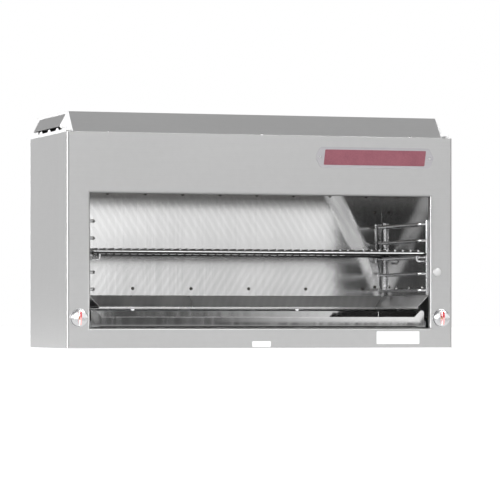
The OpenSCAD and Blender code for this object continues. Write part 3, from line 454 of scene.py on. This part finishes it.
# Rack guides: welded ladders of bright chromium-plated wire, one on each liner. The rungs bend out
# at both ends to cross the posts. A resistance weld leaves a small upset at each front crossing, and
# there is another where the rung turns.
TURN_X, TURN_Y, TURN_R = 0.3875, -0.1505, 0.0042
TURN_SAG = 0.0005
WELD_X, WELD_Y, WELD_R = 0.3850, -0.1340, 0.0036
WELD_SQUEEZE = 0.8
LEVEL_LOW, LEVEL_STEP, LEVELS = 0.1316, 0.038, 5
plated, given, place = new_pattern("plating", {"Ripple": 120.0})
ripple = noise(plated, place, given["Ripple"])
dust = noise(plated, place, (1500.0, 1500.0, 1500.0), 2.0)
put_out(plated, fit(plated, calc(plated, ripple, "+", dust), 0.6, 1.4), dust, ripple)
chrome_wire = finish_of("chrome_wire", plated, (0.70, 0.70, 0.71), (0.84, 0.84, 0.85),
                        (0.08, 0.16), relief=0.00004)


def joined(pieces, name):
    """One piece made of several."""
    pick(*pieces)
    bpy.ops.object.join()
    pieces[0].name = name
    return pieces[0]


def upset(middle, radius, squeeze=1.0):
    """A small round upset of metal, as a weld leaves it."""
    bpy.ops.object.select_all(action="DESELECT")
    bpy.ops.mesh.primitive_uv_sphere_add(segments=20, ring_count=12, radius=radius, location=middle)
    made = bpy.context.object
    select_where(made, "FACE", lambda centre, normal: True)
    bpy.ops.transform.resize(value=(1.0, squeeze, 1.0))
    bpy.ops.object.mode_set(mode="OBJECT")
    bpy.ops.object.shade_smooth()
    return made


for side, sign in (("left", -1), ("right", 1)):
    formed(f"{side}_rack_guide", chrome_wire, edge=0.0, sharp=60)
    upsets = []
    for level in (LEVEL_LOW + LEVEL_STEP * i for i in range(LEVELS)):
        upsets.append(upset((sign * TURN_X, TURN_Y, level - TURN_SAG), TURN_R))
        upsets.append(upset((sign * WELD_X, WELD_Y, level), WELD_R, WELD_SQUEEZE))
    settle(joined(upsets, f"{side}_guide_upsets"), "case", "chrome_wire", chrome_wire)


# Rack: a frame of heavy plated rod with cross rods, and forty-one fine wires welded on top. Four
# hooks below its corners reach out under the guides' rungs, so that it can't tip or lift. The plating
# is painted dark as shade, apart from the tops, the front ends and the hooks, painted light as
# highlights.
shade_and_highlight, given, place = new_pattern(
    "painted_shade_and_highlight", {"Dark below": 0.2154, "Shaded above": 0.2108, "Bright before": -0.170})
at = split(shade_and_highlight, place)
# Painted shade below the tops, and painted highlights on the tops, the front ends and the hooks.
top = fit(shade_and_highlight, calc(shade_and_highlight, at["Z"], "-", given["Dark below"]), 0.0, 0.0007)
front = fit(shade_and_highlight, calc(shade_and_highlight, given["Bright before"], "-", at["Y"]), 0.0, 0.001)
hooks = fit(shade_and_highlight, calc(shade_and_highlight, given["Shaded above"], "-", at["Z"]), 0.0, 0.001)
painted_lit = calc(shade_and_highlight, calc(shade_and_highlight, top, "MAXIMUM", front), "MAXIMUM", hooks)
ripple = noise(shade_and_highlight, place, (120.0, 120.0, 120.0))
put_out(shade_and_highlight, calc(shade_and_highlight, painted_lit, "*", fit(shade_and_highlight, ripple, 0.3, 0.7, 0.88, 1.0)), ripple, ripple)
frame_chrome = finish_of("frame_chrome", shade_and_highlight, (0.07, 0.07, 0.07), (0.78, 0.78, 0.79),
                         (0.06, 0.12))
wire_chrome = finish_of("wire_chrome", shade_and_highlight, (0.07, 0.07, 0.07), (0.80, 0.80, 0.81),
                        (0.06, 0.12), dark_below=0.2222, bright_before=-0.1662)
formed("rack_frame", frame_chrome, edge=0.0, sharp=60)
formed("rack_wires", wire_chrome, edge=0.0, sharp=60)


# Runners, ledges and drip pan: folded runners of zinc-coated sheet on the bottom panel, and a tray
# of polished steel that slides on their ledges and is drawn out by the raised ears at its front.
for name in ("pan_runners", "pan_ledges"):
    formed(name, zinc_sheet)
pan_steel = finish_of("pan_steel", polished, (0.68, 0.68, 0.68), (0.82, 0.82, 0.82), (0.03, 0.07),
                      relief=0.00001, streak=(60.0, 60.0, 3.0))
formed("drip_pan", pan_steel, edge=0.0004)


# Knobs: chromium-plated castings with a domed skirt and a tall arched grip, each pushed on the flat
# of its valve's brass stem. Red paint lies along the grip's crest, painted paler below as painted
# sheen, and a thin plated bezel is pressed on the panel behind each.
KNOB_X, KNOB_Z = 0.429, 0.067
KNOB_BACK = 0.003
SKIRT_R, BEZEL_R = 0.019, 0.021
GRIP_TOP, ARCH_R = 0.020, 0.030
GRIP_FOOT = 0.001
GRIP_HALF_W, GRIP_HALF_L = 0.007, 0.0176
SIDE_OUT, SIDE_UP = 19, 3
CHAMFER_FROM, CHAMFER_OUT = 0.0032, 0.5
LINE_PROUD = 0.00035
LINE_HALF_W, LINE_HALF_L, LINE_FLOOR = 0.0009, 0.0155, 0.010
knob_chrome = finish_of("knob_chrome", plated, (0.76, 0.76, 0.77), (0.86, 0.86, 0.87),
                        (0.10, 0.18), ripple=60.0)
paint_with_painted_sheen, given, place = new_pattern("paint_with_painted_sheen", {"Sheen below": 0.070})
fleck = noise(paint_with_painted_sheen, place, (900.0, 900.0, 900.0))
# The paint is painted paler below the knob's middle, as painted sheen.
under = calc(paint_with_painted_sheen, given["Sheen below"], "-", split(paint_with_painted_sheen, place)["Z"])
pale = calc(paint_with_painted_sheen, fit(paint_with_painted_sheen, under, 0.0, 0.003), "*",
            fit(paint_with_painted_sheen, fleck, 0.3, 0.7, 0.8, 1.0))
put_out(paint_with_painted_sheen, pale, fleck, fleck)
pointer_paint = finish_of("pointer_paint", paint_with_painted_sheen, (0.60, 0.03, 0.04), (0.90, 0.50, 0.50),
                          (0.35, 0.5), metallic=0.0)


def turned(name, radius, rise, steps, sides):
    """A turned part that stands on z = 0: a disc whose top is drawn in and up step by step."""
    bpy.ops.object.select_all(action="DESELECT")
    bpy.ops.mesh.primitive_cylinder_add(vertices=sides, radius=radius, depth=rise,
                                        location=(0, 0, rise / 2))
    piece = bpy.context.object
    piece.name = name
    fix_place(piece)
    select_where(piece, "FACE", lambda centre, normal: normal.z > 0.9)
    for inward, upward in steps:
        bpy.ops.mesh.inset(thickness=inward, depth=upward)
    bpy.ops.object.mode_set(mode="OBJECT")
    return piece


def cut(piece, point, normal):
    """Cuts away all of a closed piece that lies on the normal's side of a plane, and closes it."""
    select_where(piece, "FACE", lambda centre, way: True)
    bpy.ops.mesh.bisect(plane_co=point, plane_no=normal, use_fill=True, clear_outer=True)
    bpy.ops.object.mode_set(mode="OBJECT")


def arch(name, radius, half_width, half_length, floor):
    """A slice of a disc that lies along Y and has its crest on top."""
    bpy.ops.object.select_all(action="DESELECT")
    bpy.ops.mesh.primitive_cylinder_add(
        vertices=160, radius=radius, depth=2 * half_width, location=(0, 0, GRIP_TOP - ARCH_R),
        rotation=(0, math.pi / 2, 0))
    piece = bpy.context.object
    piece.name = name
    fix_place(piece)
    cut(piece, (0, 0, floor), (0, 0, -1))
    for way in (-1, 1):
        cut(piece, (0, way * half_length, 0), (0, way, 0))
    return piece


def stand_on_front(piece, x, y, z):
    """Turns a part that stands on z = 0 to stand on the front, and puts it in its place."""
    piece.location = (x, y, z)
    piece.rotation_euler = (math.pi / 2, 0, 0)
    fix_place(piece)
    return piece


for side, sign in (("left", -1), ("right", 1)):
    skirt = turned("skirt", SKIRT_R, 0.0040, [
        (0.0003, 0.0008), (0.0007, 0.0008), (0.0012, 0.0005), (0.0030, 0.0004), (0.0040, 0.0003),
        (0.0040, 0.0002), (0.0040, 0.0001)], 96)
    soften(skirt, 0.0, 50)
    grip = arch("grip", ARCH_R, GRIP_HALF_W, GRIP_HALF_L, GRIP_FOOT)
    for way in (-1, 1):
        cut(grip, (way * GRIP_HALF_W, 0, GRIP_FOOT), (way * SIDE_OUT, 0, SIDE_UP))
        for end in (-1, 1):
            cut(grip, (way * CHAMFER_FROM, end * GRIP_HALF_L, 0), (way * CHAMFER_OUT, end, 0))
    soften(grip, 0.0009, 30, 3)
    knob = stand_on_front(joined([skirt, grip], f"{side}_knob_casting"), sign * KNOB_X,
                          FRONT_Y - KNOB_BACK, KNOB_Z)
    settle(knob, f"{side}_knob", "knob_chrome", knob_chrome, f"{side}_knob")
    line = arch(f"{side}_knob_line", ARCH_R + LINE_PROUD, LINE_HALF_W, LINE_HALF_L, LINE_FLOOR)
    soften(line, 0.0002, 30)
    stand_on_front(line, sign * KNOB_X, FRONT_Y - KNOB_BACK, KNOB_Z)
    settle(line, f"{side}_knob", "pointer_red", pointer_paint, f"{side}_knob_pointer")
    formed(f"{side}_valve_stem", turned_brass)
bezels = []
for sign in (-1, 1):
    bezel = turned("bezel", BEZEL_R, 0.0005, [
        (0.0002, 0.0003), (0.0003, 0.0002), (0.0010, 0.0002), (0.0006, -0.0003), (0.0010, 0.0)], 96)
    soften(bezel, 0.0, 40)
    bezels.append(stand_on_front(bezel, sign * KNOB_X, FRONT_Y, KNOB_Z))
settle(joined(bezels, "bezel_rings"), "case", "knob_chrome", knob_chrome, "knob_bezels")


# Hole plug: a spring plug of plated steel with a low dome, snapped into the spare hole of the right
# stile. Its short skirt grips the hole's edge behind the panel.
PLUG_X, PLUG_Z = 0.4195, 0.1728
PLUG_R, PLUG_SKIRT_R = 0.010, 0.0077
cap = turned("cap", PLUG_R, 0.0004, [
    (0.0002, 0.0007), (0.0004, 0.0006), (0.0008, 0.0004), (0.0022, 0.0002), (0.0025, 0.0001),
    (0.0025, 0.0001)], 64)
soften(cap, 0.0, 50)
stand_on_front(cap, PLUG_X, FRONT_Y, PLUG_Z)
skirt = turned("plug_skirt", PLUG_SKIRT_R, 0.0055, [(0.0012, 0.0), (0.0002, -0.005)], 48)
skirt.rotation_euler = (math.pi, 0, 0)
fix_place(skirt)
soften(skirt, 0.0, 40)
stand_on_front(skirt, PLUG_X, FRONT_Y, PLUG_Z)
satin_plug = finish_of("satin_plug", plated, (0.72, 0.72, 0.72), (0.80, 0.80, 0.80), (0.32, 0.4))
settle(joined([cap, skirt], "plug_cap"), "case", "knob_chrome", satin_plug, "hole_plug")


# Nameplate and labels: a bright plate with a raised rim round a bare field of red enamel, held by
# two small screws, and two plain labels of white film that are stuck on the rail below the window.
PLATE_Z = 0.4325
ENAMEL_PROUD, ENAMEL_THICK = 0.0009, 0.0007
ENAMEL_SLANT = 0.004
plate_metal = finish_of("plate_metal", brushed, (0.39, 0.38, 0.40), (0.45, 0.44, 0.46),
                        (0.35, 0.45), metallic=0.4, grain=(30.0, 30.0, 900.0))
red_enamel = finish_of("red_enamel", cast, (0.20, 0.042, 0.068), (0.29, 0.078, 0.108), (0.35, 0.5),
                       metallic=0.0, coat=0.3, grit=500.0)
label_film = finish_of("label_film", cast, (0.90, 0.90, 0.90), (0.96, 0.96, 0.96), (0.35, 0.5),
                       metallic=0.0, grit=300.0)


def through(first, last):
    """Tells an edge that runs through the thickness of a flat piece on the front."""
    return abs(first.y - last.y) > 0.0002


def round_corners(radius, away=0.0):
    """A shaping step that rounds a flat piece's corners, but not within reach of mid-height."""
    def shape(piece):
        select_where(piece, "EDGE", lambda first, last: through(first, last)
                     and abs(first.z - PLATE_Z) > away)
        bpy.ops.mesh.bevel(offset=radius, segments=6, affect="EDGES", clamp_overlap=False)
        bpy.ops.object.mode_set(mode="OBJECT")
    return shape


def press_rim(piece):
    """Rounds the plate's corners and sinks its field, so that a narrow rim stands round it."""
    round_corners(0.006, away=0.01)(piece)
    select_where(piece, "FACE", lambda centre, normal: normal.y < -0.9)
    bpy.ops.mesh.inset(thickness=0.0014, depth=0.0)
    bpy.ops.mesh.inset(thickness=0.0005, depth=-0.0004)
    bpy.ops.object.mode_set(mode="OBJECT")


formed("nameplate", plate_metal, edge=0.00015, shape=press_rim)
low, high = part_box("nameplate_enamel")
middle_x = (low.x + high.x) / 2
bpy.ops.object.select_all(action="DESELECT")
bpy.ops.mesh.primitive_cube_add(size=1.0, location=(middle_x, FRONT_Y - ENAMEL_PROUD, PLATE_Z),
                                scale=(high.x - low.x, ENAMEL_THICK, high.z - low.z))
field = bpy.context.object
field.name = "enamel_field"
fix_place(field)
for end in (-1, 1):
    select_where(field, "EDGE", lambda first, last: through(first, last)
                 and end * (first.x - middle_x) > 0 > end * (first.z - PLATE_Z))
    bpy.ops.transform.translate(value=(-end * ENAMEL_SLANT, 0, 0))
    bpy.ops.object.mode_set(mode="OBJECT")
round_corners(0.002)(field)
soften(field, 0.0002, 40)
settle(field, "case", "enamel_red", red_enamel, "nameplate_enamel")
formed("blank_labels", label_film, edge=0.0, shape=round_corners(0.0015))


# Screws: plated round heads with a cross recess, along the hood's foot, at the plate's ends, over
# the rear panel, and in the cavity's walls, where they hold the sheets to each other. Those in the
# back wall are painted dark, as a painted reflection of the dark rack and pan they face.
dark_reflection, given, place = new_pattern("painted_dark_reflection", {"Dark from": 0.130, "Dark to": 0.160})
depth = split(dark_reflection, place)["Y"]
# Painted reflection: heads at the back wall's depth are painted dark.
mirrors_dark = calc(dark_reflection, fit(dark_reflection, calc(dark_reflection, depth, "-", given["Dark from"]), 0.0, 0.004), "*",
           fit(dark_reflection, calc(dark_reflection, given["Dark to"], "-", depth), 0.0, 0.004))
fleck = noise(dark_reflection, place, (900.0, 900.0, 900.0))
put_out(dark_reflection, calc(dark_reflection, calc(dark_reflection, 1.0, "-", mirrors_dark), "*",
                     fit(dark_reflection, fleck, 0.3, 0.7, 0.85, 1.0)), fleck, fleck)
screw_plate = finish_of("screw_plate", dark_reflection, (0.20, 0.19, 0.18), (0.88, 0.88, 0.88), (0.12, 0.25))
HEAD_R = 0.004
CROSS_Z, CROSS_SIZE = 0.0026, (0.0040, 0.0007, 0.0028)
TURN_BETWEEN_HEADS = 37
model_head = turned("head", HEAD_R, 0.0004, [
    (0.00015, 0.0006), (0.00045, 0.0006), (0.0008, 0.0005), (0.0010, 0.00035), (0.0008, 0.00015)],
    20)
for turn_by in (0.0, math.pi / 2):
    bpy.ops.object.select_all(action="DESELECT")
    bpy.ops.mesh.primitive_cube_add(size=1.0, location=(0, 0, CROSS_Z), scale=CROSS_SIZE,
                                    rotation=(0, 0, turn_by))
    blade = bpy.context.object
    pick(model_head)
    recess = model_head.modifiers.new("recess", "BOOLEAN")
    recess.operation = "DIFFERENCE"
    recess.object = blade
    bpy.ops.object.modifier_apply(modifier=recess.name)
    bpy.data.objects.remove(blade)
UP, FORWARD, BACKWARD = (0, 0, 0), (math.pi / 2, 0, 0), (-math.pi / 2, 0, 0)
FOOT_PITCH, FOOT_Y, FOOT_Z = 0.357, FRONT_Y + 0.010, 0.4812
ENDS_X, ENDS_Y, ENDS_SCALE = (0.135, 0.401), FRONT_Y - 0.0006, 0.75
REAR_PITCH, REAR_Y, REAR_ROWS_Z = 0.2185, 0.184, (0.020, 0.460)
LOW_FIRST_X, LOW_PITCH, LOW_Z = -0.355, 0.142, 0.1366
TOP_FIRST_X, TOP_PITCH, TOP_Z = -0.365, 0.09125, 0.358
CORNER_X, CORNER_ROWS_Z = 0.387, (0.1416, 0.320)
LINER_X, LINER_FIRST_Y, LINER_PITCH, LINER_Z = 0.405, -0.125, 0.086, 0.1376
places = [((i * FOOT_PITCH, FOOT_Y, FOOT_Z), UP, 1.0) for i in (-1, 0, 1)]
places += [((x, ENDS_Y, PLATE_Z), FORWARD, ENDS_SCALE) for x in ENDS_X]
places += [((i * REAR_PITCH, REAR_Y, z), BACKWARD, 1.0) for i in range(-2, 3) for z in REAR_ROWS_Z]
places += [((LOW_FIRST_X + i * LOW_PITCH, WALL_BACK_Y, LOW_Z), FORWARD, 1.0) for i in range(6)]
places += [((TOP_FIRST_X + i * TOP_PITCH, WALL_BACK_Y, TOP_Z), FORWARD, 1.0) for i in range(9)]
for sign in (-1, 1):
    inward = (0, -sign * math.pi / 2, 0)
    places += [((sign * CORNER_X, WALL_BACK_Y, z), FORWARD, 1.0) for z in CORNER_ROWS_Z]
    places += [((sign * LINER_X, LINER_FIRST_Y + i * LINER_PITCH, LINER_Z), inward, 1.0)
               for i in range(3)]
heads = []
for i, (middle, way, size) in enumerate(places):
    head = model_head.copy()
    head.data = model_head.data.copy()
    bpy.context.scene.collection.objects.link(head)
    head.rotation_euler = (0, 0, math.radians(TURN_BETWEEN_HEADS * i))
    fix_place(head)
    head.location, head.rotation_euler, head.scale = middle, way, (size, size, size)
    fix_place(head)
    heads.append(head)
bpy.data.objects.remove(model_head)
screws = joined(heads, "screw_set")
soften(screws, 0.0, 40)
settle(screws, "case", "screw_steel", screw_plate, "screw_heads")


# Studio floor: a pale matt floor that glows a little, so that it stays even. For the metal to mirror
# it has a darker image of its own, which fades with the distance.
FLOOR_SIZE = 60.0
FLOOR_Z = -0.0005
WHITE = (1, 1, 1, 1)
bpy.ops.object.select_all(action="DESELECT")
bpy.ops.mesh.primitive_plane_add(size=FLOOR_SIZE, location=(0.0, 0.0, FLOOR_Z))
floor = bpy.context.object
floor.name = "studio_floor"
floor_paint = bpy.data.materials.new("floor_paint")
floor_paint.use_nodes = True
tree = floor_paint.node_tree
tree.nodes.clear()
ground = object_place(tree)
speck = node(tree, "ShaderNodeMix", {0: noise(tree, ground, (20.0, 20.0, 20.0)),
                                     6: (0.90, 0.90, 0.90, 1), 7: (0.93, 0.93, 0.93, 1)},
             data_type="RGBA").outputs[2]
matt = node(tree, "ShaderNodeBsdfDiffuse", {"Color": speck})
glow = node(tree, "ShaderNodeEmission", {"Color": WHITE, "Strength": 0.55})
lit = node(tree, "ShaderNodeAddShader", {0: matt.outputs[0], 1: glow.outputs[0]})
reach = node(tree, "ShaderNodeVectorMath", {0: ground}, operation="LENGTH").outputs["Value"]
image = calc(tree, fit(tree, reach, 0.7, 2.6, 0.85, 0.45), "*", fit(tree, reach, 4.0, 7.0, 1.0, 0.2))
mirrored = node(tree, "ShaderNodeEmission", {"Color": WHITE, "Strength": image})
path = node(tree, "ShaderNodeLightPath").outputs
shown = node(tree, "ShaderNodeMixShader",
             {0: path["Is Glossy Ray"], 1: lit.outputs[0], 2: mirrored.outputs[0]})
node(tree, "ShaderNodeOutputMaterial", {"Surface": shown.outputs[0]})
floor.data.materials.append(floor_paint)


# Studio sky: light from low all round that fades overhead, with soft boxes, each a direction, the
# cosines where it starts and is full, and its strength. Dark flags, given alike, and a dark strip at
# the horizon break up what the metal mirrors. The camera itself sees an even white backdrop.
SOFT_BOXES = (((-0.95, -0.30, 0.10), 0.86, 0.97, 6.0),
              ((0.40, -0.85, 0.42), 0.980, 0.992, 5.0),
              ((0.08, -0.997, 0.03), 0.985, 0.997, 2.0))
FLAGS = (((-0.31, -0.95, 0.05), 0.975, 0.9925, 0.96),
         ((-0.60, -0.80, 0.03), 0.93, 0.98, 0.88))
STRIP_Z = (0.016, 0.030)
STRIP_LEFT_X, STRIP_RIGHT_X = (0.2540, 0.2575), (0.292, 0.345)
STRIP_SHARE = 0.91
FILL = 1.35
world = bpy.data.worlds.new("studio_sky")
bpy.context.scene.world = world
world.use_nodes = True
sky = world.node_tree
sky.nodes.clear()
toward = node(sky, "ShaderNodeTexCoord").outputs["Generated"]


def lobe(direction, start, full):
    """A soft patch of the sky round one direction."""
    aim = tuple(Vector(direction).normalized())
    cosine = node(sky, "ShaderNodeVectorMath", {0: toward, 1: aim}, operation="DOT_PRODUCT")
    return fit(sky, cosine.outputs["Value"], start, full, curve="SMOOTHSTEP")


def darkened(level, patch, share=1.0):
    """The sky's level with that share of it taken away over a patch."""
    taken = calc(sky, patch, "*", share)
    return calc(sky, level, "*", calc(sky, 1.0, "-", taken))


axes = split(sky, toward)
across, height = axes["X"], axes["Z"]
front_sky = fit(sky, height, 0.10, 0.32, 1.10, 0.34)
back_sky = fit(sky, height, 0.04, 0.26, 0.80, 0.30)
behind = lobe((-0.2, 1.0, 0.2), 0.2, 0.8)
level = node(sky, "ShaderNodeMix", {0: behind, 2: front_sky, 3: back_sky}).outputs[0]
level = calc(sky, level, "+", fit(sky, height, 0.6, 0.95, 0.0, 0.06))
for direction, start, full, strength in SOFT_BOXES:
    level = calc(sky, level, "+", calc(sky, lobe(direction, start, full), "*", strength))
for direction, start, full, share in FLAGS:
    level = darkened(level, lobe(direction, start, full), share)
beside = calc(sky, fit(sky, across, *STRIP_RIGHT_X, STRIP_SHARE, 0.0), "*",
              fit(sky, across, *STRIP_LEFT_X))
strip = fit(sky, calc(sky, height, "ABSOLUTE"), *STRIP_Z, 1.0, 0.0)
level = darkened(level, calc(sky, strip, "*", beside))
rays = node(sky, "ShaderNodeLightPath").outputs
level = calc(sky, level, "*", fit(sky, rays["Is Diffuse Ray"], 0.0, 1.0, 1.0, FILL))
studio = node(sky, "ShaderNodeBackground", {"Color": WHITE, "Strength": level})
backdrop = node(sky, "ShaderNodeBackground", {"Color": WHITE, "Strength": 1.0})
mixed = node(sky, "ShaderNodeMixShader",
             {0: rays["Is Camera Ray"], 1: studio.outputs[0], 2: backdrop.outputs[0]})
node(sky, "ShaderNodeOutputWorld", {"Surface": mixed.outputs[0]})


# Camera: where the photograph was taken from, as fitted to the case's corners. It is held level, so
# that upright edges stay upright, and its lens is shifted up instead.
bpy.context.scene.view_settings.view_transform = "Standard"
view = bpy.data.cameras.new("photo_view")
view.sensor_width = 36.0
view.lens = 233.9
view.shift_y = 0.146
view.clip_end = 200.0
camera = bpy.data.objects.new("photo_view", view)
camera.location = (-2.260, -7.155, 0.056)
camera.rotation_euler = (math.radians(90.0), 0.0, math.radians(-17.73))
bpy.context.scene.collection.objects.link(camera)
bpy.context.scene.camera = camera
